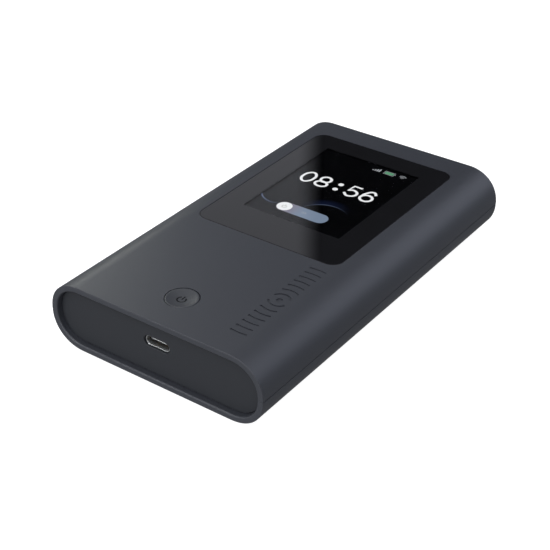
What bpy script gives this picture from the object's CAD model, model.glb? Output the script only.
import math

import bmesh
import bpy
from mathutils import Matrix, Vector


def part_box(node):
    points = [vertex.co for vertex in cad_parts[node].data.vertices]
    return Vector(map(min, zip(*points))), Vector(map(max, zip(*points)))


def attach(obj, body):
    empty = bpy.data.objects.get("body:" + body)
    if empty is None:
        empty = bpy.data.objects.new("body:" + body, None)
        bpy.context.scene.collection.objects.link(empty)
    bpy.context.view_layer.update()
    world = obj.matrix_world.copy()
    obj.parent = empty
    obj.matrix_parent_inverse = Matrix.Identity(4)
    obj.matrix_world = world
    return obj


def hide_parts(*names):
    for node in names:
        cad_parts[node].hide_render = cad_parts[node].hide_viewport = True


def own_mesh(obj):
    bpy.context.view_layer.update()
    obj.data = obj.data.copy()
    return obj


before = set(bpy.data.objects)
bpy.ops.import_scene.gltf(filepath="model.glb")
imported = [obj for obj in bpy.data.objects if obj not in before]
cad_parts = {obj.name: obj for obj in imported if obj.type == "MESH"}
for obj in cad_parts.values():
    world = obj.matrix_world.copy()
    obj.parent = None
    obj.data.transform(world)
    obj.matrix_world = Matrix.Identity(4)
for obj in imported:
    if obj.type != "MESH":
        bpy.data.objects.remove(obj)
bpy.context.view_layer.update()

# A pocket mobile hotspot: two moulded shells, a display under a cover glass, a dished power button,
# a USB-C port and a SIM tray. Lengths in the dictionaries are millimetres, the scene is in metres.

mm = 0.001
upAxis = Vector((0, 0, 1))


# small tools

def linear(hexColour):
    # an sRGB hex colour as the linear colour that sockets want
    channels = [int(hexColour[i:i + 2], 16) / 255 for i in (0, 2, 4)]
    return [c / 12.92 if c <= 0.04045 else ((c + 0.055) / 1.055) ** 2.4 for c in channels] + [1]


def addNode(tree, kind, inputs=None, **settings):
    # one node with its settings; an input is a number, a colour, another node or one of its outputs,
    # and is named or counted among the sockets that the settings leave in use
    node = tree.nodes.new(kind)
    for key, value in settings.items():
        setattr(node, key, value)
    sockets = [socket for socket in node.inputs if socket.enabled]
    for key, value in (inputs or {}).items():
        target = sockets[key] if isinstance(key, int) else next(s for s in sockets if s.name == key)
        if isinstance(value, bpy.types.Node):
            value = next(socket for socket in value.outputs if socket.enabled)
        if isinstance(value, bpy.types.NodeSocket):
            tree.links.new(value, target)
        else:
            target.default_value = value
    return node


def newMaterial(name):
    material = bpy.data.materials.new(name)
    material.use_nodes = True
    material.node_tree.nodes.clear()
    coordinates = addNode(material.node_tree, "ShaderNodeTexCoord").outputs["Object"]
    return material, material.node_tree, coordinates


def featureNoise(tree, coordinates, sizeMm, detail=2.0, roughness=0.5, stretch=(1, 1, 1)):
    # noise whose features are about sizeMm across, before any stretch
    stretched = addNode(tree, "ShaderNodeMapping", {"Vector": coordinates, "Scale": stretch})
    return addNode(tree, "ShaderNodeTexNoise", {
        "Vector": stretched, "Scale": 1 / (sizeMm * mm), "Detail": detail, "Roughness": roughness})


def baseColour(tree, share, look, second="shade"):
    # a look's two colours, mixed as a pattern goes from 0 to 1
    return addNode(tree, "ShaderNodeMix", {
        "Factor": share, "A": linear(look["colour"]), "B": linear(look[second])}, data_type="RGBA")


def surface(tree, inputs, height=None, depthMm=0.0, strength=1.0):
    # the finished surface, with its fine relief where it has any
    if height is not None:
        inputs["Normal"] = addNode(tree, "ShaderNodeBump", {
            "Strength": strength, "Distance": depthMm * mm, "Height": height})
    shader = addNode(tree, "ShaderNodeBsdfPrincipled", inputs)
    addNode(tree, "ShaderNodeOutputMaterial", {"Surface": shader})


# materials

noiseSpan = {"From Min": 0.3, "From Max": 0.7}  # nearly all of a noise's values lie between these


def mouldedPlastic(name, look):
    # Moulded plastic: the spark-eroded tool leaves a fine even grain, which breaks up highlights.
    # The real grain is about 0.08 mm; it is drawn coarser so that it shows at all.
    material, tree, place = newMaterial(name)
    grain = featureNoise(tree, place, look["grain"], 3.0, 0.6)
    base = baseColour(tree, featureNoise(tree, place, look["flow"]), look)
    flecks = addNode(tree, "ShaderNodeMapRange", {"Value": grain, **noiseSpan, "To Max": look["speckle"]})
    colour = addNode(tree, "ShaderNodeMix", {
        "Factor": flecks, "A": base, "B": linear(look["fleck"])}, data_type="RGBA")
    rough = addNode(tree, "ShaderNodeMapRange", {
        "Value": grain, **noiseSpan, "To Min": look["rough"] - 0.04, "To Max": look["rough"] + 0.04})
    surface(tree, {"Base Color": colour, "Roughness": rough, "IOR": look["ior"]}, grain, look["depth"])
    return material


def platedMetal(name, look):
    # Rolled and plated metal: fine lines along one way stretch the highlight across them.
    material, tree, place = newMaterial(name)
    lines = featureNoise(tree, place, look["line"], 4.0, 0.6, look["stretch"])
    colour = baseColour(tree, featureNoise(tree, place, look["patch"]), look)
    rough = addNode(tree, "ShaderNodeMapRange", {
        "Value": lines, **noiseSpan, "To Min": look["rough"] - 0.06, "To Max": look["rough"] + 0.08})
    surface(tree, {"Base Color": colour, "Roughness": rough, "Metallic": 1.0}, lines, look["depth"], 0.6)
    return material


def printedGlass(name, look):
    # Polished cover glass over black screen print: a deep black with one sharp reflection.
    # The faint ripple is the float glass; real ripple is wider than the part and far flatter.
    material, tree, place = newMaterial(name)
    ink = featureNoise(tree, place, look["ink"])
    rough = addNode(tree, "ShaderNodeMapRange", {
        "Value": ink, **noiseSpan, "To Min": look["rough"], "To Max": look["rough"] + 0.02})
    surface(tree, {"Base Color": baseColour(tree, ink, look), "Roughness": rough, "IOR": look["ior"]},
            featureNoise(tree, place, look["ripple"], 1.0), look["depth"], 0.3)
    return material


def coatedWindow(name, look):
    # The clear window over the picture: an anti-reflection coat cuts what bare glass mirrors to a
    # third, which an IOR below that of glass gives.
    material, tree, place = newMaterial(name)
    rough = addNode(tree, "ShaderNodeMapRange", {
        "Value": featureNoise(tree, place, look["ripple"], 1.0), **noiseSpan, "To Max": look["rough"]})
    surface(tree, {"Base Color": linear(look["tint"]), "Roughness": rough, "IOR": look["ior"],
                   "Transmission Weight": 1.0})
    return material


def softRubber(name, look):
    # Moulded silicone: matt and slightly dusty, with a sheen at grazing angles.
    material, tree, place = newMaterial(name)
    dust = featureNoise(tree, place, look["dust"], 3.0)
    rough = addNode(tree, "ShaderNodeMapRange", {
        "Value": dust, **noiseSpan, "To Min": look["rough"] - 0.06, "To Max": look["rough"] + 0.06})
    surface(tree, {"Base Color": baseColour(tree, dust, look), "Roughness": rough, "IOR": 1.41,
                   "Sheen Weight": 0.15}, featureNoise(tree, place, look["grain"], 3.0), look["depth"], 0.8)
    return material


def solderResist(name, look):
    # Epoxy-glass board under green solder resist: copper tracks show as raised paler lines.
    material, tree, place = newMaterial(name)
    tracks = addNode(tree, "ShaderNodeTexBrick", {
        "Vector": place, "Scale": 1 / (look["pitch"] * 10 * mm), "Color1": (0, 0, 0, 1),
        "Color2": (0, 0, 0, 1), "Mortar": (1, 1, 1, 1), "Mortar Size": 0.012})
    weave = featureNoise(tree, place, look["weave"])
    colour = addNode(tree, "ShaderNodeMix", {
        "Factor": tracks, "A": baseColour(tree, weave, look), "B": linear(look["track"])}, data_type="RGBA")
    rough = addNode(tree, "ShaderNodeMapRange", {"Value": weave, **noiseSpan, "To Min": 0.28, "To Max": 0.4})
    surface(tree, {"Base Color": colour, "Roughness": rough, "IOR": 1.55}, tracks, look["depth"], 0.7)
    return material


def striped(name, look):
    # Film or tape with parallel conductors or fibres: stripes across one axis, under a smooth skin.
    material, tree, place = newMaterial(name)
    stripes = addNode(tree, "ShaderNodeTexWave", {
        "Vector": place, "Scale": 1 / (look["pitch"] * 3.2 * mm), "Distortion": look["wander"]},
        bands_direction=look["across"]).outputs["Fac"]
    share = addNode(tree, "ShaderNodeMapRange", {"Value": stripes, "From Min": 0.35, "From Max": 0.65})
    rough = addNode(tree, "ShaderNodeMapRange", {
        "Value": share, "To Min": look["rough"], "To Max": look["rough"] + 0.12})
    surface(tree, {"Base Color": baseColour(tree, share, look, "stripe"), "Roughness": rough, "IOR": 1.6},
            stripes, look["depth"], 0.6)
    return material


def litPixels(name, look):
    # A lit area of the picture: even colour, broken by the panel's fine pixel grid.
    # The real pixels are 0.15 mm; the grid is kept faint so that it reads as a smooth glow.
    material, tree, place = newMaterial(name)
    grid = addNode(tree, "ShaderNodeTexVoronoi", {
        "Vector": place, "Scale": 1 / (0.15 * mm), "Randomness": 0.0}, distance="CHEBYCHEV")
    along = addNode(tree, "ShaderNodeMapRange", {
        "Value": addNode(tree, "ShaderNodeSeparateXYZ", {"Vector": place}).outputs["X"],
        "From Min": look["fromX"] * mm, "From Max": look["toX"] * mm}, interpolation_type="SMOOTHSTEP")
    gaps = addNode(tree, "ShaderNodeMapRange", {
        "Value": grid, "From Min": 0.3, "From Max": 0.5, "To Max": 0.05})
    colour = addNode(tree, "ShaderNodeMix", {
        "Factor": gaps, "A": baseColour(tree, along, look, "end"), "B": (0, 0, 0, 1)}, data_type="RGBA")
    surface(tree, {"Base Color": (0, 0, 0, 1), "Roughness": 0.4, "Specular IOR Level": 0.0,
                   "Emission Color": colour, "Emission Strength": look["glow"]})
    return material


plasticLooks = {
    "shellAbs": {"colour": "292b30", "shade": "26282d", "fleck": "303237", "speckle": 0.35, "grain": 0.3,
                 "flow": 40, "depth": 0.012, "rough": 0.47, "ior": 1.42},
    "panelAbs": {"colour": "1c1e22", "shade": "1a1c20", "fleck": "222428", "speckle": 0.35, "grain": 0.3,
                 "flow": 30, "depth": 0.012, "rough": 0.58, "ior": 1.36},
    "buttonAbs": {"colour": "292b2f", "shade": "26282c", "fleck": "303236", "speckle": 0.3, "grain": 0.24,
                  "flow": 12, "depth": 0.008, "rough": 0.42, "ior": 1.42},
    "whiteLcp": {"colour": "d9d8d2", "shade": "cfcdc6", "fleck": "e4e3de", "speckle": 0.4, "grain": 0.4,
                 "flow": 8, "depth": 0.01, "rough": 0.45, "ior": 1.55},
    "blackLcp": {"colour": "1b1b1d", "shade": "161618", "fleck": "26262a", "speckle": 0.4, "grain": 0.3,
                 "flow": 8, "depth": 0.01, "rough": 0.42, "ior": 1.55},
    "chipEpoxy": {"colour": "202124", "shade": "1b1c1e", "fleck": "2d2e32", "speckle": 0.5, "grain": 0.18,
                  "flow": 6, "depth": 0.008, "rough": 0.55, "ior": 1.5},
    "cardPvc": {"colour": "e6e7e6", "shade": "dddedd", "fleck": "eeefee", "speckle": 0.3, "grain": 0.3,
                "flow": 6, "depth": 0.003, "rough": 0.35, "ior": 1.53},
    "labelFilm": {"colour": "33353a", "shade": "303237", "fleck": "3b3e44", "speckle": 0.5, "grain": 0.35,
                  "flow": 20, "depth": 0.006, "rough": 0.38, "ior": 1.5},
    "padInk": {"colour": "08080a", "shade": "060607", "fleck": "0c0d0f", "speckle": 0.4, "grain": 0.15,
               "flow": 3, "depth": 0.003, "rough": 0.7, "ior": 1.12},
    "redPvc": {"colour": "a81f1c", "shade": "951a18", "fleck": "bc2e28", "speckle": 0.3, "grain": 0.3,
               "flow": 6, "depth": 0.004, "rough": 0.35, "ior": 1.53},
    "blackPvc": {"colour": "17171a", "shade": "131315", "fleck": "222226", "speckle": 0.3, "grain": 0.3,
                 "flow": 6, "depth": 0.004, "rough": 0.35, "ior": 1.53},
}
metalLooks = {
    "stampedSteel": {"colour": "b9bbbd", "shade": "a3a6a9", "line": 0.12, "stretch": (1, 0.06, 1), "patch": 5,
                     "depth": 0.006, "rough": 0.34},
    "nickelPlate": {"colour": "d6d7d6", "shade": "c2c4c4", "line": 0.1, "stretch": (1, 0.08, 1), "patch": 2,
                    "depth": 0.003, "rough": 0.38},
    "zincPlate": {"colour": "c3c7cb", "shade": "a9adb2", "line": 0.15, "stretch": (1, 1, 0.2), "patch": 1,
                  "depth": 0.005, "rough": 0.3},
    "goldPlate": {"colour": "e2b85e", "shade": "cfa04a", "line": 0.08, "stretch": (1, 0.1, 1), "patch": 1,
                  "depth": 0.002, "rough": 0.22},
    "pouchFoil": {"colour": "aeb3b8", "shade": "9aa0a6", "line": 1.2, "stretch": (1, 1, 1), "patch": 9,
                  "depth": 0.05, "rough": 0.38},
}
rubberLooks = {
    "siliconePad": {"colour": "3a3c41", "shade": "33353a", "grain": 0.25, "dust": 4, "depth": 0.01,
                    "rough": 0.8},
    "siliconeFoot": {"colour": "2b2c30", "shade": "26272a", "grain": 0.3, "dust": 5, "depth": 0.015,
                     "rough": 0.75},
}
glassLooks = {
    "printed": {"colour": "101011", "shade": "131315", "ripple": 60, "ink": 8, "depth": 0.004, "rough": 0.015,
                "ior": 1.5},
    "ground": {"colour": "0c0c0d", "shade": "101012", "ripple": 2, "ink": 1, "depth": 0.004, "rough": 0.5,
               "ior": 1.2},
    "window": {"tint": "f4f6f8", "ripple": 60, "ior": 1.24, "rough": 0.01},
}
boardLook = {"colour": "14452f", "shade": "103a27", "track": "2a6a48", "pitch": 0.5, "weave": 0.6,
             "depth": 0.02}
stripeLooks = {
    "polyimideFlex": {"colour": "9a5a1c", "stripe": "b9772e", "pitch": 0.5, "wander": 0.0, "across": "X",
                      "depth": 0.01, "rough": 0.3},
    "acrylicTape": {"colour": "1d1d1e", "stripe": "262628", "pitch": 0.6, "wander": 2.0, "across": "DIAGONAL",
                    "depth": 0.01, "rough": 0.6},
}
pictureLooks = {
    "whitePixels": {"colour": "ffffff", "end": "ffffff", "fromX": -20, "toX": 20, "glow": 1.0},
    "pillPixels": {"colour": "8a8696", "end": "8494aa", "fromX": -6, "toX": 0, "glow": 0.9},
    "glyphPixels": {"colour": "b9bcb6", "end": "b9bcb6", "fromX": -20, "toX": 20, "glow": 1.0},
    "greenPixels": {"colour": "6aab80", "end": "62a27a", "fromX": 6, "toX": 11, "glow": 1.0},
    "greyPixels": {"colour": "b9bcc0", "end": "b9bcc0", "fromX": -20, "toX": 20, "glow": 0.9},
}

materials = {}
for make, looks in ((mouldedPlastic, plasticLooks), (platedMetal, metalLooks), (softRubber, rubberLooks),
                    (striped, stripeLooks), (litPixels, pictureLooks)):
    materials.update({name: make(name, look) for name, look in looks.items()})
materials["printedGlass"] = printedGlass("printedGlass", glassLooks["printed"])
materials["groundGlass"] = printedGlass("groundGlass", glassLooks["ground"])
materials["coatedWindow"] = coatedWindow("coatedWindow", glassLooks["window"])
materials["solderResist"] = solderResist("solderResist", boardLook)
print("materials made:", len(materials))


# modelling tools

def pieceFrom(bm, name):
    mesh = bpy.data.meshes.new(name)
    bm.to_mesh(mesh)
    bm.free()
    piece = bpy.data.objects.new(name, mesh)
    bpy.context.scene.collection.objects.link(piece)
    return piece


def dress(piece, names, body, replaced=()):
    for name in names:
        piece.data.materials.append(materials[name])
    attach(piece, body)
    if replaced:
        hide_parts(*replaced)
    return piece


def joinInto(bm, other):
    # adds the faces of one bmesh to another
    mesh = bpy.data.meshes.new("part")
    other.to_mesh(mesh)
    other.free()
    bm.from_mesh(mesh)
    bpy.data.meshes.remove(mesh)
    return bm


def block(low, high):
    # a closed box between two corners given in mm
    bm = bmesh.new()
    low, high = Vector(low) * mm, Vector(high) * mm
    place = Matrix.Translation((low + high) / 2) @ Matrix.Diagonal((*(high - low), 1))
    bmesh.ops.create_cube(bm, size=1, matrix=place)
    return bm


def alongEdges(bm, axis):
    # the edges of a box that run along one axis: 0 is X, 1 is Y, 2 is Z
    found = []
    for edge in bm.edges:
        run = edge.verts[1].co - edge.verts[0].co
        if abs(run[axis]) > 0.99 * run.length:
            found.append(edge)
    return found


def roundEdges(bm, edges, radiusMm, steps, profile=0.5):
    bmesh.ops.bevel(bm, geom=edges, offset=radiusMm * mm, offset_type="OFFSET", segments=steps,
                    profile=profile, affect="EDGES", material=-1, clamp_overlap=False)
    bmesh.ops.remove_doubles(bm, verts=bm.verts, dist=1e-7)
    return bm


def roundedSlab(low, high, radiusMm, steps=8, axis=2):
    # a box whose four edges along one axis are rounded
    bm = block(low, high)
    return roundEdges(bm, alongEdges(bm, axis), radiusMm, steps)


def post(x, y, radiusMm, fromZ, toZ, sides=32):
    bm = bmesh.new()
    place = Matrix.Translation(Vector((x, y, (fromZ + toZ) / 2)) * mm)
    bmesh.ops.create_cone(bm, cap_ends=True, cap_tris=False, segments=sides, radius1=radiusMm * mm,
                          radius2=radiusMm * mm, depth=(toZ - fromZ) * mm, matrix=place)
    return bm


def gathered(parts):
    bm = bmesh.new()
    for part in parts:
        joinInto(bm, part)
    return bm


def tubeBetween(outer, inner):
    # two blocks that end at the same places along Y become a tube, open at both ends
    bm = outer
    bmesh.ops.reverse_faces(inner, faces=inner.faces)
    joinInto(bm, inner)
    bm.normal_update()
    ends = [face for face in bm.faces if abs(face.normal.y) > 0.9]
    bmesh.ops.delete(bm, geom=ends, context="FACES_ONLY")
    low = min(v.co.y for v in bm.verts)
    high = max(v.co.y for v in bm.verts)
    for end in (low, high):
        loops = [e for e in bm.edges if e.is_boundary and all(abs(v.co.y - end) < 1e-6 for v in e.verts)]
        bmesh.ops.bridge_loops(bm, edges=loops)
    bmesh.ops.recalc_face_normals(bm, faces=bm.faces)
    return bm


def spunProfile(points, x, y, sides=64):
    # a closed body turned about an upright axis, from radii and heights in mm
    bm = bmesh.new()
    chain = [bm.verts.new(Vector((radius, 0, height)) * mm) for radius, height in points]
    edges = [bm.edges.new(pair) for pair in zip(chain, chain[1:])]
    bmesh.ops.spin(bm, geom=chain + edges, cent=(0, 0, 0), axis=upAxis, angle=2 * math.pi,
                   steps=sides, use_merge=True, use_duplicate=False)
    bmesh.ops.remove_doubles(bm, verts=bm.verts, dist=1e-7)
    bmesh.ops.recalc_face_normals(bm, faces=bm.faces)
    bmesh.ops.translate(bm, verts=bm.verts, vec=Vector((x, y, 0)) * mm)
    return bm


weldMm = 0.001
past = 1.0  # how far a cutting shape reaches past what it cuts, in mm


def bakeModifiers(piece):
    graph = bpy.context.evaluated_depsgraph_get()
    baked = bpy.data.meshes.new_from_object(piece.evaluated_get(graph))
    old = piece.data
    piece.modifiers.clear()
    piece.data = baked
    bpy.data.meshes.remove(old)


def carve(piece, bm, operation="DIFFERENCE"):
    # joins a shape to a piece, or cuts it away
    tool = pieceFrom(bm, "tool")
    modifier = piece.modifiers.new("carve", "BOOLEAN")
    modifier.operation = operation
    modifier.solver = "EXACT"
    modifier.object = tool
    bakeModifiers(piece)
    mesh = tool.data
    bpy.data.objects.remove(tool)
    bpy.data.meshes.remove(mesh)
    welded = bmesh.new()  # hair-thin slivers left along the cut would open the next one
    welded.from_mesh(piece.data)
    bmesh.ops.remove_doubles(welded, verts=welded.verts, dist=weldMm * mm)
    bmesh.ops.dissolve_degenerate(welded, dist=weldMm * mm, edges=welded.edges)
    welded.to_mesh(piece.data)
    welded.free()
    return piece


def softEdges(piece, widthMm, steps=2, degrees=32):
    # small moulding radii on every hard edge, with flats that still shade flat
    piece.data.shade_smooth()
    bevel = piece.modifiers.new("radii", "BEVEL")
    bevel.width = widthMm * mm
    bevel.segments = steps
    bevel.limit_method = "ANGLE"
    bevel.angle_limit = math.radians(degrees)
    bevel.use_clamp_overlap = True
    weighted = piece.modifiers.new("flats", "WEIGHTED_NORMAL")
    weighted.keep_sharp = True
    weighted.weight = 60
    return piece


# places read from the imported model, in mm

def boxMm(node):
    low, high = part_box(node)
    return low / mm, high / mm


upperHigh = boxMm("top_shell")[1]
lowerLow = boxMm("bottom_shell")[0]
glassLow, glassHigh = boxMm("cover_glass")
lcdLow, lcdHigh = boxMm("lcd_panel")
buttonLow, buttonHigh = boxMm("power_button")
portLow, portHigh = boxMm("usb_shell")
panelLow, panelHigh = boxMm("front_end_panel")
farPanelLow, farPanelHigh = boxMm("rear_end_panel")
trayLow, trayHigh = boxMm("sim_tray")
cardLow, cardHigh = boxMm("nano_sim_card")
labelLow, labelHigh = boxMm("rating_label")
boardLow = boxMm("main_board")[0]

caseShape = {"wall": 2.0, "sideReach": 11.6, "sideProfile": 0.5294, "sideSteps": 28, "outerRim": 0.16,
             "innerRim": 0.5, "split": 11.5, "seamGap": 0.05, "seam": 0.2, "seamDepth": 0.4, "ledge": 1.2,
             "ledgeThick": 1.5, "ledgeGap": 0.05, "lip": 0.85, "lipStep": 0.02, "lipHeight": 1.4,
             "lipGap": 0.1, "lipRoot": 0.5, "lipBack": 1.0, "bossRadius": 3.2, "panelGap": 0.1, "radii": 0.1}
halfWidth = upperHigh.x
halfLength = upperHigh.y
halfHeight = (upperHigh.z - lowerLow.z) / 2
midHeight = (upperHigh.z + lowerLow.z) / 2
roofUnder = upperHigh.z - caseShape["wall"]
floorTop = lowerLow.z + caseShape["wall"]
panelBack = -panelHigh.y
footNodes = [f"foot_{i + 1}" for i in range(4)]
footCentres = [(boxMm(node)[0] + boxMm(node)[1]) / 2 for node in footNodes]
buttonY = (buttonLow.y + buttonHigh.y) / 2


# case

def sectionBlock(inset, fromY, toY):
    # the case's section moved inwards by inset: flat top and bottom between superellipse sides
    rise = halfHeight - inset
    reach = caseShape["sideReach"] - inset
    flat = halfWidth - caseShape["sideReach"]
    bm = block((-flat - rise, fromY, midHeight - rise), (flat + rise, toY, midHeight + rise))
    roundEdges(bm, alongEdges(bm, 1), rise, caseShape["sideSteps"], caseShape["sideProfile"])
    for vert in bm.verts:
        beyond = abs(vert.co.x) - flat * mm
        if beyond > 0:
            vert.co.x = math.copysign(flat * mm + beyond * reach / rise, vert.co.x)
    return bm


def sectionTube(outerInset, innerInset, fromY, toY):
    return tubeBetween(sectionBlock(outerInset, fromY, toY), sectionBlock(innerInset, fromY, toY))


def rimEdges(bm, outer):
    # edges round both open ends, on the outer or the inner wall
    bm.normal_update()
    found = []
    for edge in bm.edges:
        faces = edge.link_faces
        if len(faces) != 2:
            continue
        ends = [face for face in faces if abs(face.normal.y) > 0.9]
        walls = [face for face in faces if abs(face.normal.y) < 0.1]
        if len(ends) == 1 and len(walls) == 1:
            outward = (edge.verts[0].co + edge.verts[1].co) / 2 - Vector((0, 0, midHeight * mm))
            outward.y = 0
            if (walls[0].normal.dot(outward) > 0) == outer:
                found.append(edge)
    return found


def cutLevel(bm, height, keepUpper):
    # cuts a body level and closes the cut
    geometry = bm.verts[:] + bm.edges[:] + bm.faces[:]
    bmesh.ops.bisect_plane(bm, geom=geometry, dist=1e-8, plane_co=(0, 0, height * mm), plane_no=upAxis,
                           clear_inner=keepUpper, clear_outer=not keepUpper)
    bmesh.ops.holes_fill(bm, edges=[e for e in bm.edges if e.is_boundary], sides=0)
    bmesh.ops.recalc_face_normals(bm, faces=bm.faces)
    return bm


def seamBar(side):
    # a flat bar, which leaves the fine groove where the shells meet
    deep, high = caseShape["seamDepth"], caseShape["seam"] / 2
    x, z = side * halfWidth, caseShape["split"]
    return block((x - deep, -halfLength - past, z - high), (x + deep, halfLength + past, z + high))


def halfShell(name, upper):
    shape = caseShape
    bm = sectionTube(0, shape["wall"], -halfLength, halfLength)
    roundEdges(bm, rimEdges(bm, True), shape["outerRim"], 3)
    roundEdges(bm, rimEdges(bm, False), shape["innerRim"], 5)
    height = shape["split"] + shape["seamGap"] / 2 * (1 if upper else -1)
    cutLevel(bm, height, upper)
    piece = pieceFrom(bm, name)
    carve(piece, gathered([seamBar(-1), seamBar(1)]))
    return piece, height


def endLedges(height, upper):
    # the rib inside a shell that each end panel backs onto
    shape = caseShape
    near = panelBack - shape["ledgeGap"]
    parts = []
    for fromY, toY in ((-near, shape["ledgeThick"] - near), (near - shape["ledgeThick"], near)):
        ring = sectionTube(shape["wall"] / 2, shape["wall"] + shape["ledge"], fromY, toY)
        parts.append(cutLevel(ring, height, upper))
    return gathered(parts)


def lipRing(clearance, fromZ, toZ):
    # the lower shell's lip that stands inside the upper shell, or the room for it
    shape = caseShape
    reach = panelBack - shape["ledgeThick"] - shape["lipBack"] + clearance
    inner = shape["wall"] - shape["lipStep"] + 2 * clearance
    ring = sectionTube(shape["wall"] - shape["lip"] - clearance, inner, -reach, reach)
    return cutLevel(cutLevel(ring, fromZ, True), toZ, False)


markShape = {"centre": (23.35, -37.8), "dot": 1.0, "width": 5.7, "stroke": 0.7, "depth": 0.35,
             "first": 3.2, "step": 2.75, "waves": 7}


def waveCutter(radius, sign):
    # one arc of the radio-wave mark, spun from a small upright face
    shape = markShape
    floor = upperHigh.z - shape["depth"]
    reach, sliver = shape["stroke"] / 2, 0.001
    bm = block((radius - reach, -sliver, floor), (radius + reach, sliver, floor + past))
    side = [face for face in bm.faces if face.normal.y > 0.9]
    others = [face for face in bm.faces if face not in side]
    bmesh.ops.delete(bm, geom=others, context="FACES")
    spread = math.asin(shape["width"] / 2 / radius)
    start = Matrix.Rotation(math.pi / 2 * sign - spread, 3, "Z")
    bmesh.ops.rotate(bm, verts=bm.verts, cent=(0, 0, 0), matrix=start)
    bmesh.ops.spin(bm, geom=bm.verts[:] + bm.edges[:] + bm.faces[:], cent=(0, 0, 0), axis=upAxis,
                   angle=2 * spread, steps=10, use_merge=False, use_duplicate=False)
    bmesh.ops.recalc_face_normals(bm, faces=bm.faces)
    bmesh.ops.translate(bm, verts=bm.verts, vec=Vector((*shape["centre"], 0)) * mm)
    return bm


def markCutter():
    shape = markShape
    floor = upperHigh.z - shape["depth"]
    parts = [post(*shape["centre"], shape["dot"], floor, floor + past)]
    for i in range(shape["waves"]):
        radius = shape["first"] + i * shape["step"]
        parts += [waveCutter(radius, 1), waveCutter(radius, -1)]
    return gathered(parts)


upperShape = {"pocketGap": 0.1, "pocketRadius": 4.1, "adhesive": 0.15, "windowGap": 0.3, "buttonGap": 0.2,
              "stakeX": 24.86, "stakeInset": 4.0, "stakeTip": 0.5, "retainerX": 8.3, "shoulder": 1.5,
              "stake": 0.8, "pilot": 1.0, "grip": 3.9}


def stakeSpots():
    # x, y, seat and tip of each stake that holds the display's tray and the button's retainer
    shape = upperShape
    bracketLow, bracketHigh = boxMm("lcd_bracket")
    retainerLow, retainerHigh = boxMm("button_retainer")
    spots = [(side * shape["stakeX"], y, bracketHigh.z, bracketLow.z - shape["stakeTip"]) for side in (-1, 1)
             for y in (lcdLow.y + shape["stakeInset"], lcdHigh.y - shape["stakeInset"])]
    return spots + [(side * shape["retainerX"], buttonY, retainerHigh.z, retainerLow.z - shape["stakeTip"])
                    for side in (-1, 1)]


def cutTopOpenings(piece, height):
    # the pocket for the glass, the window under it, the button's hole, the screw pilots and the mark
    shape = upperShape
    above = upperHigh.z + past
    gap = shape["pocketGap"]
    carve(piece, roundedSlab((glassLow.x - gap, glassLow.y - gap, glassLow.z - shape["adhesive"]),
                             (glassHigh.x + gap, glassHigh.y + gap, above), shape["pocketRadius"], 12))
    gap = shape["windowGap"]
    carve(piece, block((lcdLow.x - gap, lcdLow.y - gap, roofUnder - past),
                       (lcdHigh.x + gap, lcdHigh.y + gap, above)))
    capRadius = buttonShape["radius"] + shape["buttonGap"]
    holes = [post(0, buttonY, capRadius, roofUnder - past, above, 96)]
    holes += [post(c.x, c.y, shape["pilot"], height - past, height + shape["grip"], 24) for c in footCentres]
    carve(piece, joinInto(gathered(holes), markCutter()))


def buildUpperShell():
    shape = upperShape
    piece, height = halfShell("upperShell", True)
    rooted = [post(c.x, c.y, caseShape["bossRadius"], height, roofUnder + past) for c in footCentres]
    spots = stakeSpots()
    rooted += [post(x, y, shape["shoulder"], seat, roofUnder + past, 24) for x, y, seat, tip in spots]
    carve(piece, gathered(rooted), "UNION")
    stakes = [post(x, y, shape["stake"], tip, seat + past, 20) for x, y, seat, tip in spots]
    carve(piece, gathered(stakes), "UNION")
    carve(piece, endLedges(height, True), "UNION")
    gap = caseShape["lipGap"]
    carve(piece, lipRing(gap, height - past, caseShape["split"] + caseShape["lipHeight"] + gap))
    cutTopOpenings(piece, height)
    softEdges(piece, caseShape["radii"])
    return dress(piece, ["shellAbs"], "case", ["top_shell"])


lowerShape = {"footGap": 0.1, "headRoom": 2.0, "headDepth": 1.95, "clearHole": 1.05, "labelGap": 0.2,
              "labelRadius": 2.0, "labelDepth": 0.2, "postRadius": 2.4, "postPilot": 0.8, "pilotDepth": 4.5}


def cutUnderside(piece, height, boardPosts):
    # the feet's and the label's recesses, and the holes for both sets of screws
    shape = lowerShape
    below = lowerLow.z - past
    footRoom = footShape["radius"] + shape["footGap"]
    recesses = [post(c.x, c.y, footRoom, below, lowerLow.z + footShape["seat"], 64) for c in footCentres]
    gap = shape["labelGap"]
    recesses.append(roundedSlab((labelLow.x - gap, labelLow.y - gap, below),
                                (labelHigh.x + gap, labelHigh.y + gap, lowerLow.z + shape["labelDepth"]),
                                shape["labelRadius"], 8))
    carve(piece, gathered(recesses))
    headTop = lowerLow.z + shape["headDepth"]
    carve(piece, gathered([post(c.x, c.y, shape["headRoom"], below, headTop) for c in footCentres]))
    holes = [post(c.x, c.y, shape["clearHole"], below, height + past, 24) for c in footCentres]
    holes += [post(x, y, shape["postPilot"], boardLow.z - shape["pilotDepth"], boardLow.z + past, 20)
              for x, y in boardPosts]
    carve(piece, gathered(holes))


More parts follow.
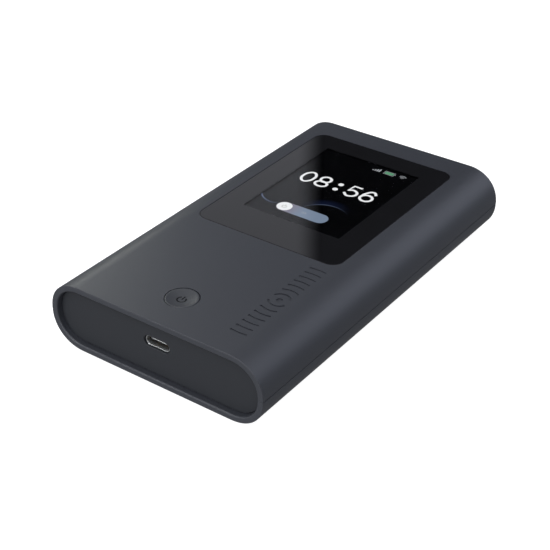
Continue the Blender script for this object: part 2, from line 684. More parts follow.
def buildLowerShell():
    shape = lowerShape
    piece, height = halfShell("lowerShell", False)
    deep = floorTop - past
    bosses = [post(c.x, c.y, caseShape["bossRadius"], deep, height) for c in footCentres]
    screwBoxes = [boxMm(f"board_screw_{i + 1}") for i in range(4)]
    boardPosts = [((low.x + high.x) / 2, (low.y + high.y) / 2) for low, high in screwBoxes]
    posts = [post(x, y, shape["postRadius"], deep, boardLow.z, 24) for x, y in boardPosts]
    carve(piece, gathered(bosses + posts), "UNION")
    carve(piece, endLedges(height, False), "UNION")
    lipTop = caseShape["split"] + caseShape["lipHeight"]
    carve(piece, lipRing(0, height - caseShape["lipRoot"], lipTop), "UNION")
    cutUnderside(piece, height, boardPosts)
    softEdges(piece, caseShape["radii"])
    return dress(piece, ["shellAbs"], "case", ["bottom_shell"])


panelShape = {"portWidth": 9.4, "portHeight": 3.6, "slotGap": 0.1, "pinhole": 0.6, "edge": 0.25}


def stadiumBlock(width, height, fromY, toY, x, z, steps=16):
    # a bar along Y with round sides, as wide and high as given
    bm = block((x - width / 2, fromY, z - height / 2), (x + width / 2, toY, z + height / 2))
    return roundEdges(bm, alongEdges(bm, 1), height / 2, steps)


def buildEndPanels():
    shape = panelShape
    inset = caseShape["wall"] + caseShape["panelGap"]
    near = pieceFrom(sectionBlock(inset, panelLow.y, panelHigh.y), "nearEndPanel")
    portZ = (portLow.z + portHigh.z) / 2
    carve(near, stadiumBlock(shape["portWidth"], shape["portHeight"], panelLow.y - past,
                             panelHigh.y + past, 0, portZ))
    far = pieceFrom(sectionBlock(inset, farPanelLow.y, farPanelHigh.y), "farEndPanel")
    gap = shape["slotGap"]
    carve(far, block((trayLow.x - gap, farPanelLow.y - past, trayLow.z - gap),
                     (trayHigh.x + gap, farPanelHigh.y + past, trayHigh.z + gap)))
    plungerLow, plungerHigh = boxMm("reset_switch_plunger")
    thick = farPanelHigh.y - farPanelLow.y
    hole = post(0, 0, shape["pinhole"], -thick - past, thick + past, 32)
    bmesh.ops.rotate(hole, verts=hole.verts, cent=(0, 0, 0), matrix=Matrix.Rotation(math.pi / 2, 3, "X"))
    centre = Vector(((plungerLow.x + plungerHigh.x) / 2, farPanelHigh.y, (plungerLow.z + plungerHigh.z) / 2))
    bmesh.ops.translate(hole, verts=hole.verts, vec=centre * mm)
    carve(far, hole)
    for piece, node in ((near, "front_end_panel"), (far, "rear_end_panel")):
        softEdges(piece, shape["edge"], 3)
        dress(piece, ["panelAbs"], "case", [node])
    print("end panels made")


# cover glass and display

glassShape = {"radius": 4.0, "edge": 0.18, "window": (-18.36, 18.36), "windowFar": 8.48,
              "windowLength": 48.96}


def buildCoverGlass():
    # a closed slab: the faces over the picture are clear, the rest carries the black print
    shape = glassShape
    bm = roundedSlab(glassLow, glassHigh, shape["radius"], 16)
    bm.normal_update()
    rim = [e for e in bm.edges if len(e.link_faces) == 2 and e.calc_face_angle() > 1.2]
    roundEdges(bm, rim, shape["edge"], 4)
    far = glassHigh.y - shape["windowFar"]
    near = far - shape["windowLength"]
    left, right = shape["window"]
    for place, normal in (((left, 0, 0), (1, 0, 0)), ((right, 0, 0), (1, 0, 0)),
                          ((0, near, 0), (0, 1, 0)), ((0, far, 0), (0, 1, 0))):
        bmesh.ops.bisect_plane(bm, geom=bm.verts[:] + bm.edges[:] + bm.faces[:], dist=1e-8,
                               plane_co=Vector(place) * mm, plane_no=normal)
    bm.normal_update()
    for face in bm.faces:
        middle = face.calc_center_median() / mm
        inside = left < middle.x < right and near < middle.y < far
        if abs(face.normal.z) < 0.99:
            face.material_index = 2
        else:
            face.material_index = 1 if inside else 0
    piece = pieceFrom(bm, "coverGlass")
    piece.data.shade_smooth()
    weighted = piece.modifiers.new("flats", "WEIGHTED_NORMAL")
    weighted.weight = 80
    finishes = ["printedGlass", "coatedWindow", "groundGlass"]
    return dress(piece, finishes, "case", ["cover_glass"])


wallpaperLook = {
    "ground": "020203", "line": "8494b4", "haze": "222f55",
    "arcs": [
        {"centre": (-13.1, 14.6), "radius": 6.5, "width": 0.25, "X": (-26, -8), "Y": (2, 18), "light": 0.8,
         "haze": 0.6},
        {"centre": (6.3, 8.0), "radius": 9.3, "width": 0.35, "X": (-13, 13), "Y": (8, 60), "light": 1.3,
         "haze": 4.0},
    ],
}


def withinSpan(tree, value, low, high):
    # 1 in the middle of a span, falling smoothly to 0 at its ends
    middle = (low + high) / 2
    rise = addNode(tree, "ShaderNodeMapRange", {"Value": value, "From Min": low, "From Max": middle},
                   interpolation_type="SMOOTHSTEP")
    fall = addNode(tree, "ShaderNodeMapRange", {
        "Value": value, "From Min": middle, "From Max": high, "To Min": 1.0, "To Max": 0.0},
        interpolation_type="SMOOTHSTEP")
    return addNode(tree, "ShaderNodeMath", {0: rise, 1: fall}, operation="MULTIPLY")


def arcGlow(tree, place, arc):
    # how strong one arc's fine line and its haze are at a place in mm
    offset = addNode(tree, "ShaderNodeVectorMath", {0: place, 1: (*arc["centre"], 0)}, operation="SUBTRACT")
    length = addNode(tree, "ShaderNodeVectorMath", {0: offset}, operation="LENGTH")
    beyond = addNode(tree, "ShaderNodeMath", {0: length, 1: arc["radius"]}, operation="SUBTRACT")
    away = addNode(tree, "ShaderNodeMath", {0: beyond}, operation="ABSOLUTE")
    split = addNode(tree, "ShaderNodeSeparateXYZ", {"Vector": place})
    line = addNode(tree, "ShaderNodeMapRange", {
        "Value": away, "From Max": arc["width"], "To Min": arc["light"], "To Max": 0.0},
        interpolation_type="SMOOTHSTEP")
    haze = addNode(tree, "ShaderNodeMapRange", {
        "Value": beyond, "From Max": arc["haze"], "To Min": 1.0, "To Max": 0.0},
        interpolation_type="SMOOTHSTEP")
    outside = addNode(tree, "ShaderNodeMath", {0: beyond, 1: 0.0}, operation="GREATER_THAN")
    haze = addNode(tree, "ShaderNodeMath", {0: haze, 1: outside}, operation="MULTIPLY")
    for axis in ("X", "Y"):
        span = withinSpan(tree, split.outputs[axis], *arc[axis])
        line = addNode(tree, "ShaderNodeMath", {0: line, 1: span}, operation="MULTIPLY")
        haze = addNode(tree, "ShaderNodeMath", {0: haze, 1: span}, operation="MULTIPLY")
    return haze, line


def displayGlass(name, look):
    # The lit wallpaper: thin bluish arcs with a soft haze on their outer side, on a black ground.
    material, tree, place = newMaterial(name)
    inMm = addNode(tree, "ShaderNodeMapping", {"Vector": place, "Scale": (1 / mm, 1 / mm, 0)})
    colour = linear(look["ground"])
    for arc in look["arcs"]:
        for share, tint in zip(arcGlow(tree, inMm, arc), ("haze", "line")):
            colour = addNode(tree, "ShaderNodeMix", {
                "Factor": share, "A": colour, "B": linear(look[tint])}, data_type="RGBA")
    surface(tree, {"Base Color": linear("020202"), "Roughness": 0.35, "Specular IOR Level": 0.0,
                   "Emission Color": colour, "Emission Strength": 1.0})
    return material


# digits drawn as strokes in a unit box: (across, up, corner) with corner 1 where the stroke turns sharply
digitStrokes = {
    "0": [("ring", 0.5, 0.5, 0.5, 0.5)],
    "8": [("ring", 0.5, 0.73, 0.42, 0.27), ("ring", 0.5, 0.25, 0.5, 0.25)],
    "5": [("line", (0.93, 1, 1), (0.2, 1, 1), (0.12, 0.5, 1), (0.52, 0.62, 0), (1, 0.31, 0), (0.5, 0, 0),
           (0, 0.2, 0))],
    "6": [("ring", 0.5, 0.3, 0.5, 0.3),
          ("line", (0.96, 0.78, 0), (0.55, 1, 0), (0.09, 0.68, 0), (0, 0.3, 0))],
}
clockShape = {"text": "08:56", "low": 25.45, "high": 33.1, "stroke": 0.92, "thick": 0.02,
              "columns": [(-14.98, -9.9), (-9.05, -3.85), (-0.56, -0.56), (2.4, 7.65), (8.48, 13.56)],
              "dots": (30.9, 27.25), "dot": 0.95}
layerZ = lcdHigh.z + 0.03  # middle of the picture's drawn shapes, just over the panel
layerHalf = 0.01


def strokePiece(name, strokes, strokeMm, thickMm):
    # strokes drawn as tubes of even width, turned into a mesh and pressed flat
    curve = bpy.data.curves.new(name, "CURVE")
    curve.dimensions = "3D"
    curve.bevel_depth = strokeMm / 2 * mm
    curve.bevel_resolution = 3
    curve.resolution_u = 10
    curve.use_fill_caps = True
    for points, closed in strokes:
        spline = curve.splines.new("BEZIER")
        spline.bezier_points.add(len(points) - 1)
        for target, (x, y, corner) in zip(spline.bezier_points, points):
            target.co = Vector((x, y, 0)) * mm
            target.handle_left_type = "VECTOR" if corner else "AUTO"
            target.handle_right_type = "VECTOR" if corner else "AUTO"
        spline.use_cyclic_u = closed
    holder = bpy.data.objects.new(name + "Path", curve)
    bpy.context.scene.collection.objects.link(holder)
    graph = bpy.context.evaluated_depsgraph_get()
    mesh = bpy.data.meshes.new_from_object(holder.evaluated_get(graph))
    bpy.data.objects.remove(holder)
    bpy.data.curves.remove(curve)
    mesh.transform(Matrix.Diagonal((1, 1, thickMm / strokeMm, 1)))
    mesh.name = name
    piece = bpy.data.objects.new(name, mesh)
    bpy.context.scene.collection.objects.link(piece)
    return piece


def lift(piece, height):
    piece.data.transform(Matrix.Translation((0, 0, height * mm)))
    return piece


def digitPaths(letter, left, right, low, high, stroke):
    # the strokes of one digit, fitted to its box and moved in by half the stroke
    half = stroke / 2
    left, right, low, high = left + half, right - half, low + half, high - half
    wide, tall = right - left, high - low
    paths = []
    for kind, *values in digitStrokes[letter]:
        if kind == "ring":
            x, y, reachX, reachY = values
            turns = [math.pi / 4 * i for i in range(8)]
            ring = [(left + wide * (x + reachX * math.cos(t)), low + tall * (y + reachY * math.sin(t)), 0)
                    for t in turns]
            paths.append((ring, True))
        else:
            paths.append(([(left + wide * x, low + tall * y, corner) for x, y, corner in values], False))
    return paths


def buildClock():
    shape = clockShape
    paths = []
    for letter, (left, right) in zip(shape["text"], shape["columns"]):
        if letter in digitStrokes:
            paths += digitPaths(letter, left, right, shape["low"], shape["high"], shape["stroke"])
    digits = lift(strokePiece("clockDigits", paths, shape["stroke"], shape["thick"]), layerZ)
    dress(digits, ["whitePixels"], "case")
    colonX = shape["columns"][2][0]
    dots = [post(colonX, y, shape["dot"], layerZ - layerHalf, layerZ + layerHalf) for y in shape["dots"]]
    dress(pieceFrom(gathered(dots), "clockColon"), ["whitePixels"], "case")


sliderShape = {"pill": (-10.2, 8.94, 5.42, 11.0), "knob": (-7.48, 8.19, 2.6), "knobRise": (0.015, 0.03),
               "glyph": 0.78, "glyphStroke": 0.24, "glyphGap": 40, "glyphTop": 1.2, "glyphDown": 0.1,
               "glyphRise": 0.036, "chevron": 0.55, "chevronStroke": 0.22, "chevronX": (-0.35, 0.55),
               "chevronRise": 0.018, "thick": 0.01}


def powerGlyphPaths(x, y, radius, gapDegrees, barTop):
    # an open ring with an upright bar through its gap
    start = math.radians(90 + gapDegrees)
    end = math.radians(450 - gapDegrees)
    ring = []
    for i in range(13):
        turn = start + (end - start) * i / 12
        ring.append((x + radius * math.cos(turn), y + radius * math.sin(turn), 0))
    return [(ring, False), ([(x, y + barTop, 1), (x, y + radius * 0.05, 1)], False)]


def buildSlider():
    shape = sliderShape
    left, right, low, high = shape["pill"]
    pill = roundedSlab((left, low, layerZ - layerHalf), (right, high, layerZ + layerHalf),
                       (high - low) / 2, 20)
    dress(pieceFrom(pill, "sliderPill"), ["pillPixels"], "case")
    x, y, radius = shape["knob"]
    knob = post(x, y, radius, *(layerZ + rise for rise in shape["knobRise"]), 64)
    dress(pieceFrom(knob, "sliderKnob"), ["whitePixels"], "case")
    paths = powerGlyphPaths(x, y - shape["glyphDown"], shape["glyph"], shape["glyphGap"], shape["glyphTop"])
    glyph = strokePiece("knobGlyph", paths, shape["glyphStroke"], shape["thick"])
    lift(glyph, layerZ + shape["glyphRise"])
    dress(glyph, ["glyphPixels"], "case")
    reach = shape["chevron"]
    paths = [([(at - reach / 2, y + reach, 1), (at + reach / 2, y, 1), (at - reach / 2, y - reach, 1)], False)
             for at in shape["chevronX"]]
    chevrons = strokePiece("sliderChevrons", paths, shape["chevronStroke"], shape["thick"])
    lift(chevrons, layerZ + shape["chevronRise"])
    dress(chevrons, ["greyPixels"], "case")


statusShape = {"row": 46.95, "height": 1.9, "barStart": 2.1, "barStep": 0.78, "barWidth": 0.5, "bars": 4,
               "battery": (6.5, 10.2), "terminal": 0.4, "terminalInset": 0.7, "outline": 0.24,
               "chargeInset": 0.25, "chargeHalf": 0.008, "chargeRadius": 0.2, "thick": 0.01, "fan": 13.35,
               "fanRadii": (0.55, 1.15, 1.75), "fanRise": 1.15, "fanStroke": 0.26, "fanThick": 0.012}


def buildSignalBars(low):
    shape = statusShape
    bars = []
    for i in range(shape["bars"]):
        left = shape["barStart"] + i * shape["barStep"]
        high = low + shape["height"] * (i + 1) / shape["bars"]
        bars.append(block((left, low, layerZ - layerHalf),
                          (left + shape["barWidth"], high, layerZ + layerHalf)))
    dress(pieceFrom(gathered(bars), "signalBars"), ["greyPixels"], "case")


def buildBatteryIcon(low):
    shape = statusShape
    left, right = shape["battery"]
    high = low + shape["height"]
    tip, inset = right + shape["terminal"], shape["terminalInset"]
    shell = [([(left, low, 1), (right, low, 1), (right, high, 1), (left, high, 1)], True),
             ([(tip, low + inset, 1), (tip, high - inset, 1)], False)]
    outline = lift(strokePiece("batteryOutline", shell, shape["outline"], shape["thick"]), layerZ)
    dress(outline, ["greyPixels"], "case")
    inset, half = shape["chargeInset"], shape["chargeHalf"]
    charge = roundedSlab((left + inset, low + inset, layerZ - half),
                         (right - inset, high - inset, layerZ + half), shape["chargeRadius"], 4)
    dress(pieceFrom(charge, "batteryCharge"), ["greenPixels"], "case")


def buildWaveFan(low):
    shape = statusShape
    fans = []
    for radius in shape["fanRadii"]:
        turns = [math.radians(45 + 22.5 * i) for i in range(5)]
        fans.append(([(shape["fan"] + radius * math.cos(t), low + radius * math.sin(t) * shape["fanRise"], 0)
                      for t in turns], False))
    fan = lift(strokePiece("waveFan", fans, shape["fanStroke"], shape["fanThick"]), layerZ)
    dress(fan, ["greyPixels"], "case")


def buildStatusRow():
    # plain generic icons, standing on one line
    low = statusShape["row"] - statusShape["height"] / 2
    buildSignalBars(low)
    buildBatteryIcon(low)
    buildWaveFan(low)


# power button

buttonShape = {"radius": 5.1, "edge": 0.22, "dish": 0.5, "flange": 1.2, "flangeThick": 1.0,
               "flangeGap": 0.05, "stem": 1.6, "soft": 0.06, "iconRadius": 1.33, "iconStroke": 0.42,
               "iconGap": 34, "iconTop": 1.75, "iconDown": 0.3, "inkProud": 0.012, "travel": 0.3}


def dishHeight(radius):
    # height of the dished top under its rim, by distance from the middle, in mm
    shape = buttonShape
    reach = shape["radius"] - 2 * shape["edge"]
    return -shape["dish"] * (1 - min(radius / reach, 1) ** 2)


def capProfile():
    # radii and heights of the cap: stem, flange, side, rounded edge and dish
    shape = buttonShape
    top, edge = buttonHigh.z, shape["edge"]
    flangeTop = roofUnder - shape["flangeGap"]
    flangeUnder = flangeTop - shape["flangeThick"]
    flangeRadius = shape["radius"] + shape["flange"]
    profile = [(0, buttonLow.z), (shape["stem"], buttonLow.z), (shape["stem"], flangeUnder),
               (flangeRadius, flangeUnder), (flangeRadius, flangeTop), (shape["radius"], flangeTop),
               (shape["radius"], top - edge)]
    for i in (1, 2, 3):
        turn = math.pi / 2 * i / 3
        profile.append((shape["radius"] - edge + edge * math.cos(turn), top - edge + edge * math.sin(turn)))
    reach = shape["radius"] - 2 * edge
    return profile + [(reach * i / 12, top + dishHeight(reach * i / 12)) for i in range(12, -1, -1)]


def buildButton():
    shape = buttonShape
    piece = pieceFrom(spunProfile(capProfile(), 0, buttonY, 96), "powerButtonCap")
    softEdges(piece, shape["soft"], 2, 50)
    dress(piece, ["buttonAbs"], "power_button", ["power_button"])
    paths = powerGlyphPaths(0, -shape["iconDown"], shape["iconRadius"], shape["iconGap"], shape["iconTop"])
    icon = strokePiece("powerIcon", paths, shape["iconStroke"], shape["inkProud"] * 2)
    for vert in icon.data.vertices:
        vert.co.z += (buttonHigh.z + dishHeight(math.hypot(vert.co.x, vert.co.y) / mm)) * mm
    icon.data.transform(Matrix.Translation((0, buttonY * mm, 0)))
    dress(icon, ["padInk"], "power_button")


# USB-C receptacle

portShape = {"wall": 0.3, "plugGap": 0.05, "tongueWidth": 6.69, "tongueThick": 0.7, "tongueLength": 4.45,
             "back": 1.6, "midplate": 0.32, "midplateProud": 0.032, "contacts": 12, "pitch": 0.5,
             "contactWidth": 0.22, "contactLength": 3.3, "contactRoot": 0.3, "contactSunk": 0.1,
             "proud": 0.02}


def buildContacts(root, z):
    # the two rows of contacts, above and below the tongue
    shape = portShape
    near, far = root - shape["contactLength"] - shape["contactRoot"], root - shape["contactRoot"]
    half = shape["contactWidth"] / 2
    rows = []
    for side in (-1, 1):
        face = z + side * shape["tongueThick"] / 2
        low, high = sorted((face - side * shape["contactSunk"], face + side * shape["proud"]))
        for i in range(shape["contacts"]):
            x = (i - (shape["contacts"] - 1) / 2) * shape["pitch"]
            rows.append(block((x - half, near, low), (x + half, far, high)))
    contacts = softEdges(pieceFrom(gathered(rows), "usbContacts"), 0.01, 1)
    dress(contacts, ["goldPlate"], "case")


def buildMidplate(front, z):
    # the steel edge of the plate inside the tongue, which shows round its front
    shape = portShape
    half, edge, proud = shape["tongueWidth"] / 2, shape["midplate"], shape["midplateProud"]
    plate = block((-half - proud, front - proud, z - edge / 2), (half + proud, front + edge, z + edge / 2))
    dress(softEdges(pieceFrom(plate, "usbMidplate"), 0.02, 2), ["nickelPlate"], "case")


def buildPort():
    shape = portShape
    x, z = 0, (portLow.z + portHigh.z) / 2
    width, height = portHigh.x - portLow.x, portHigh.z - portLow.z
    inner = 2 * shape["wall"]
    tube = tubeBetween(stadiumBlock(width, height, portLow.y, portHigh.y, x, z),
                       stadiumBlock(width - inner, height - inner, portLow.y, portHigh.y, x, z))
    shell = softEdges(pieceFrom(tube, "usbShell"), 0.08, 3, 40)
    dress(shell, ["nickelPlate"], "case", ["usb_shell"])
    root = portHigh.y - shape["back"]
    gap = inner + 2 * shape["plugGap"]
    plug = pieceFrom(stadiumBlock(width - gap, height - gap, root, portHigh.y, x, z), "usbInsulator")
    half, front = shape["tongueWidth"] / 2, root - shape["tongueLength"]
    tongue = block((-half, front, z - shape["tongueThick"] / 2),
                   (half, root + shape["back"] / 2, z + shape["tongueThick"] / 2))
    carve(plug, tongue, "UNION")
    softEdges(plug, 0.12, 3, 40)
    dress(plug, ["blackLcp"], "case", ["usb_insulator"])
    buildMidplate(front, z)
    buildContacts(root, z)


# SIM tray and card

trayShape = {"plateWidth": 13.4, "plateThick": 1.0, "faceThick": 1.5, "corner": 0.25, "pocketGap": 0.1,
             "pocketUnder": 0.025, "groove": 0.5, "grooveDepth": 0.5}
cardShape = {"keyCorner": 1.65, "corner": 0.25, "padRows": 3, "padX": 2.794, "padStep": 2.0,
             "padSize": (2.2, 1.7), "padRadius": 0.3, "padSunk": 0.02, "padProud": 0.01}


def buildTray():
    shape = trayShape
    middle = (trayLow.z + trayHigh.z) / 2
    face = block((trayLow.x, trayHigh.y - shape["faceThick"], trayLow.z), trayHigh)
    piece = pieceFrom(roundEdges(face, alongEdges(face, 1), shape["corner"], 4), "simTray")
    half = shape["plateWidth"] / 2
    plate = block((-half, trayLow.y, middle - shape["plateThick"] / 2),
                  (half, trayHigh.y - shape["faceThick"] / 2, middle + shape["plateThick"] / 2))
    carve(piece, plate, "UNION")
    gap = shape["pocketGap"]
    carve(piece, block((cardLow.x - gap, cardLow.y - gap, cardLow.z - shape["pocketUnder"]),
                       (cardHigh.x + gap, cardHigh.y + gap, cardHigh.z + past)))
    quarter = (trayHigh.x - trayLow.x) / 4
    groove = trayLow.z + shape["groove"] / 2
    carve(piece, block((-quarter, trayHigh.y - shape["grooveDepth"], groove),
                       (quarter, trayHigh.y + past, groove + shape["groove"])))
    softEdges(piece, 0.08, 2)
    dress(piece, ["panelAbs"], "sim_tray", ["sim_tray"])


def buildCard():
    shape = cardShape
    bm = block(cardLow, cardHigh)
    corner = max(alongEdges(bm, 2), key=lambda e: e.verts[0].co.x + e.verts[0].co.y)
    roundEdges(bm, [corner], shape["keyCorner"], 1)
    roundEdges(bm, alongEdges(bm, 2), shape["corner"], 4)
    piece = softEdges(pieceFrom(bm, "nanoSimCard"), 0.04, 2)
    dress(piece, ["cardPvc"], "sim_tray", ["nano_sim_card"])
    pads = []
    centre = (cardLow + cardHigh) / 2
    sizeX, sizeY = shape["padSize"]
    for row in range(shape["padRows"]):
        y = centre.y + (row - 1) * shape["padStep"]
        for x in (centre.x - shape["padX"], centre.x + shape["padX"]):
            pads.append(roundedSlab((x - sizeX / 2, y - sizeY / 2, cardHigh.z - shape["padSunk"]),
                                    (x + sizeX / 2, y + sizeY / 2, cardHigh.z + shape["padProud"]),
                                    shape["padRadius"], 4))
    dress(pieceFrom(gathered(pads), "simContacts"), ["goldPlate"], "sim_tray")


# return pad

def buildReturnPad():
    # the silicone ring that pushes the button back up; it flattens as the button goes down
    merged = bmesh.new()
    merged.from_mesh(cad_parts["button_return_pad"].data)
    bmesh.ops.remove_doubles(merged, verts=merged.verts, dist=weldMm * mm)
    piece = pieceFrom(merged, "returnPad")
    dress(piece, ["siliconePad"], "case", ["button_return_pad"])
    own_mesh(piece)


# feet and label

footShape = {"radius": 4.5, "seat": 0.6, "round": 0.35}


def buildFeet():
    shape = footShape
    for node, centre in zip(footNodes, footCentres):
        low, high = boxMm(node)
        radius, soft = shape["radius"], shape["round"]
        profile = [(0, low.z)]
        for i in range(5):
            turn = math.pi / 2 * i / 4
            profile.append((radius - soft + soft * math.sin(turn), low.z + soft - soft * math.cos(turn)))
        profile += [(radius, high.z), (0, high.z)]
        piece = pieceFrom(spunProfile(profile, centre.x, centre.y), node.replace("foot_", "rubberFoot"))
        softEdges(piece, 0.05, 2, 50)
        dress(piece, ["siliconeFoot"], "case", [node])


def buildLabel():
    bm = roundedSlab(labelLow, labelHigh, 1.8, 8)
    piece = softEdges(pieceFrom(bm, "blankLabel"), 0.03, 2)
    dress(piece, ["labelFilm"], "case", ["rating_label"])


# CAD nodes that stay, with a better finish

keptNodes = {
    "glass_adhesive": "acrylicTape", "battery_adhesive": "acrylicTape",
    "lcd_backlight": "whiteLcp", "lte_antenna": "whiteLcp", "battery_connector": "whiteLcp",
    "battery_plug": "whiteLcp", "reset_switch_plunger": "whiteLcp",
    "lcd_bracket": "stampedSteel", "modem_shield": "stampedSteel", "processor_shield": "stampedSteel",
    "power_shield": "stampedSteel", "sim_socket": "stampedSteel",
    "lcd_flex": "polyimideFlex", "lcd_connector": "blackLcp", "button_retainer": "blackLcp",
    "power_switch": "blackLcp", "reset_switch_body": "blackLcp",
    "thermal_pad": "siliconePad",
    "modem_chip": "chipEpoxy", "processor_chip": "chipEpoxy", "power_chip": "chipEpoxy",
    "main_board": "solderResist", "battery_protection_board": "solderResist",
    "wifi_antenna": "goldPlate", "battery_cell": "pouchFoil",
    "battery_lead_positive": "redPvc", "battery_lead_negative": "blackPvc",
    "case_screw": "zincPlate", "board_screw": "zincPlate",
}


def finishKeptNodes():
    materials["displayGlass"] = displayGlass("displayGlass", wallpaperLook)
    finished = 0
    for name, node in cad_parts.items():
        if node.hide_render:
            continue
        look = "displayGlass" if name == "lcd_panel" else None
        for start, finish in keptNodes.items():
            if name.startswith(start):
                look = finish
        node.data.materials.clear()
        node.data.materials.append(materials[look])
        finished += 1
    print("CAD nodes given a finish:", finished)


# studio

studio = {"floor": 8000, "floorDrop": 0.1, "fibre": 1.5, "floorLight": 0.93, "mirroredLight": 0.25,
          "backdropRadius": 4200, "mottle": 400, "world": "8f949c", "worldLight": 0.04}
paperLooks = {
    "floor": {"colour": "8f8f90", "shade": "939394"},
    "mirrored": {"colour": "f4f6fa", "shade": "fafbfd"},
    "backdrop": {"colour": "fbfbfb", "shade": "ffffff"},
}
cameraSet = {"azimuth": 35.593, "elevation": 32.625, "roll": 0.163, "distance": 414.1, "lens": 84.77,
             "aim": (-1.244, -5.714, 5.571)}
lamps = {
    "overheadSoftbox": {"place": (0, -200, 1500), "size": (2400, 2400), "power": 30, "colour": "fbfbff"},
    "leftStrip": {"place": (-130, -10, 82), "size": (160, 24), "power": 0.075, "colour": "fbfff8"},
    "rearRightSoftbox": {"place": (560, 720, 500), "size": (1200, 700), "power": 5.2, "colour": "e8eeff"},
    "rightSoftbox": {"place": (760, -260, 700), "size": (900, 500), "power": 2, "colour": "eef1ff"},
    "frontSoftbox": {"place": (-150, -640, 720), "size": (800, 500), "power": 5.2, "colour": "fafbff"},
    "frontStrip": {"place": (-60, -620, 50), "size": (900, 90), "power": 2.8, "colour": "fafbff"},
}
cardLook = {"light": 0.62, "size": (900, 320), "edge": (-312, 497), "height": 390, "soft": 24}


def floorSheet(name, drop):
    bm = bmesh.new()
    bmesh.ops.create_grid(bm, x_segments=1, y_segments=1, size=studio["floor"] / 2 * mm,
                          matrix=Matrix.Translation((0, 0, -drop * mm)))
    return pieceFrom(bm, name)


def litPaper(name, look, sizeMm, detail, light):
    # Painted paper that glows evenly, its tone drifting a little.
    material, tree, place = newMaterial(name)
    colour = baseColour(tree, featureNoise(tree, place, sizeMm, detail), look)
    glow = addNode(tree, "ShaderNodeEmission", {"Color": colour, "Strength": light})
    addNode(tree, "ShaderNodeOutputMaterial", {"Surface": glow})
    return material


def hideFrom(piece, *rays):
    # a part of the studio that the named kinds of ray pass by
    for ray in rays:
        setattr(piece, "visible_" + ray, False)


def buildFloor():
    # a sheet of pale paper lit from below, which keeps the shadow round the case faint;
    # it is clear from its back, so that the case can be seen from underneath
    floor = floorSheet("studioFloor", studio["floorDrop"])
    material, tree, place = newMaterial("paperSweep")
    colour = baseColour(tree, featureNoise(tree, place, studio["fibre"], 3.0), paperLooks["floor"])
    paper = addNode(tree, "ShaderNodeBsdfPrincipled", {
        "Base Color": colour, "Roughness": 0.9, "Specular IOR Level": 0.0,
        "Emission Color": (1, 1, 1, 1), "Emission Strength": studio["floorLight"]})
    fromBack = addNode(tree, "ShaderNodeNewGeometry").outputs["Backfacing"]
    sheet = addNode(tree, "ShaderNodeMixShader", {
        0: fromBack, 1: paper, 2: addNode(tree, "ShaderNodeBsdfTransparent")})
    addNode(tree, "ShaderNodeOutputMaterial", {"Surface": sheet})
    floor.data.materials.append(material)
    hideFrom(floor, "glossy")


def buildMirroredFloor():
    # what the case's glossy sides mirror in place of the floor: the same paper, far less lit
    sheet = floorSheet("mirroredFloor", 2 * studio["floorDrop"])
    paper = litPaper("dimPaper", paperLooks["mirrored"], studio["fibre"], 3.0, studio["mirroredLight"])
    sheet.data.materials.append(paper)
    hideFrom(sheet, "camera", "diffuse", "transmission", "shadow")


def buildBackdrop():
    # a plain pale surround, only for the camera: it lights and shades nothing
    bm = bmesh.new()
    bmesh.ops.create_icosphere(bm, subdivisions=4, radius=studio["backdropRadius"] * mm)
    backdrop = pieceFrom(bm, "studioBackdrop")
    cove = litPaper("paintedCove", paperLooks["backdrop"], studio["mottle"], 2.0, 1.0)
    backdrop.data.materials.append(cove)
    hideFrom(backdrop, "diffuse", "glossy", "transmission", "shadow")


def buildLights():
    for name, lamp in lamps.items():
        light = bpy.data.lights.new(name, "AREA")
        light.shape = "RECTANGLE"
        light.size, light.size_y = (side * mm for side in lamp["size"])
        light.energy = lamp["power"]
        light.color = linear(lamp["colour"])[:3]
        holder = bpy.data.objects.new(name, light)
        holder.location = Vector(lamp["place"]) * mm
        holder.rotation_euler = (Vector((0, 0, 0.01)) - holder.location).to_track_quat("-Z", "Y").to_euler()
        bpy.context.scene.collection.objects.link(holder)
    world = bpy.data.worlds.new("studioAir")
    world.use_nodes = True
    world.node_tree.nodes["Background"].inputs["Color"].default_value = linear(studio["world"])
    world.node_tree.nodes["Background"].inputs["Strength"].default_value = studio["worldLight"]
    bpy.context.scene.world = world


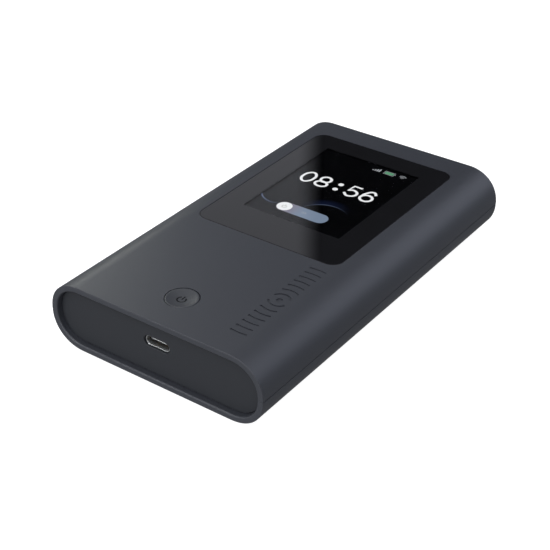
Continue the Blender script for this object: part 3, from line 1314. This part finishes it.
def buildCardLight():
    # a tall lit card behind the case: the cover glass mirrors it, with a soft upright edge
    wide, tall = cardLook["size"]
    bm = bmesh.new()
    bmesh.ops.create_grid(bm, x_segments=1, y_segments=1, size=0.5)
    bmesh.ops.scale(bm, verts=bm.verts, vec=(wide * mm, tall * mm, 1))
    bmesh.ops.translate(bm, verts=bm.verts, vec=(-wide / 2 * mm, 0, 0))
    bmesh.ops.rotate(bm, verts=bm.verts, cent=(0, 0, 0), matrix=Matrix.Rotation(math.pi / 2, 3, "X"))
    card = pieceFrom(bm, "litCard")
    material, tree, place = newMaterial("litFoamCard")
    fade = addNode(tree, "ShaderNodeMapRange", {
        "Value": addNode(tree, "ShaderNodeSeparateXYZ", {"Vector": place}).outputs["X"],
        "From Min": -cardLook["soft"] * mm, "From Max": 0.0, "To Min": cardLook["light"], "To Max": 0.0},
        interpolation_type="SMOOTHSTEP")
    glow = addNode(tree, "ShaderNodeEmission", {"Color": linear("f4f6ff"), "Strength": fade})
    addNode(tree, "ShaderNodeOutputMaterial", {"Surface": glow})
    card.data.materials.append(material)
    x, y = cardLook["edge"]
    card.location = Vector((x, y, cardLook["height"])) * mm
    card.rotation_euler = (0, 0, math.radians(cameraSet["azimuth"]))
    hideFrom(card, "camera")


def buildCamera():
    camera = bpy.data.cameras.new("studioCamera")
    camera.lens = cameraSet["lens"]
    camera.sensor_width = 36
    camera.clip_start = 0.01
    holder = bpy.data.objects.new("studioCamera", camera)
    turn = (Matrix.Rotation(math.radians(cameraSet["azimuth"]), 4, "Z")
            @ Matrix.Rotation(math.radians(90 - cameraSet["elevation"]), 4, "X")
            @ Matrix.Rotation(math.radians(cameraSet["roll"]), 4, "Z"))
    holder.matrix_world = Matrix.Translation(Vector(cameraSet["aim"]) * mm) @ turn @ Matrix.Translation(
        (0, 0, cameraSet["distance"] * mm))
    bpy.context.scene.collection.objects.link(holder)
    bpy.context.scene.camera = holder


buildUpperShell()
buildLowerShell()
print("shells made")
buildEndPanels()
buildCoverGlass()
buildClock()
buildSlider()
buildStatusRow()
print("display made")
buildButton()
buildReturnPad()
buildPort()
buildTray()
buildCard()
buildFeet()
buildLabel()
print("fittings made")
finishKeptNodes()
buildFloor()
buildMirroredFloor()
buildBackdrop()
buildCardLight()
buildLights()
buildCamera()
bpy.context.scene.view_settings.view_transform = "Standard"
